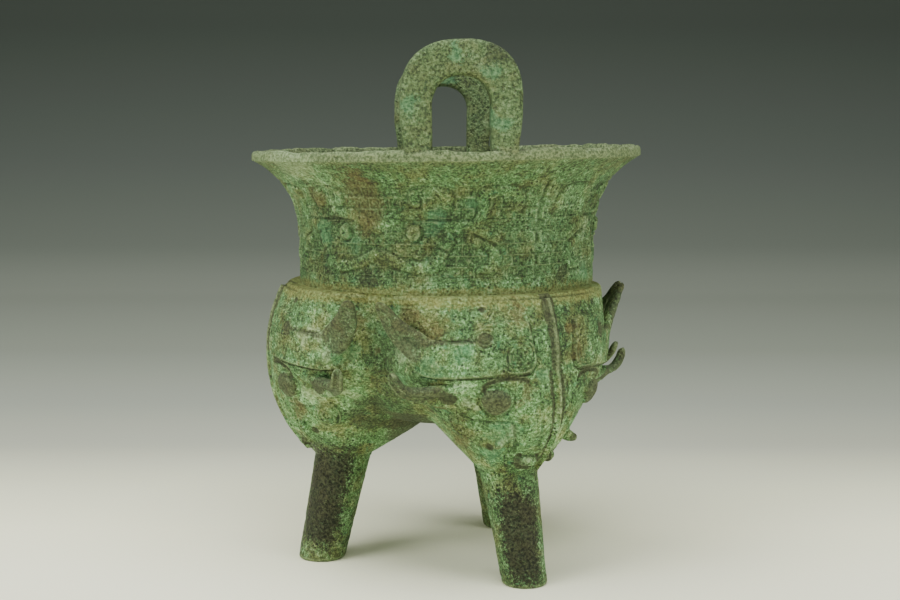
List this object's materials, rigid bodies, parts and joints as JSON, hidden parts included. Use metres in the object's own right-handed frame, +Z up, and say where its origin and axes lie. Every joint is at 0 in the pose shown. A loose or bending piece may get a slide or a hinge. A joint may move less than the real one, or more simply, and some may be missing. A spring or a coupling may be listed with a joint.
{
  "type": "lobed bronze tripod cauldron (li ding)",
  "caption": "Round-mouthed bronze tripod cauldron on pouch-shaped lobes with animal masks, a banded neck, splayed legs and upright loop handles on the rim.",
  "frame": {"origin": "on the floor under the middle of the round mouth", "axes": "+Z up, -Y towards the viewer of the picture, +X to that viewer's right"},
  "size_m": [0.166, 0.166, 0.2206],
  "materials": {
    "patinated_bronze": "cast bronze under a rough green patina, with brown and ochre patches and dark bare bronze on the legs"
  },
  "bodies": {
    "root": {"lobed_tripod_cauldron": "patinated_bronze"}
  },
  "joints": []
}
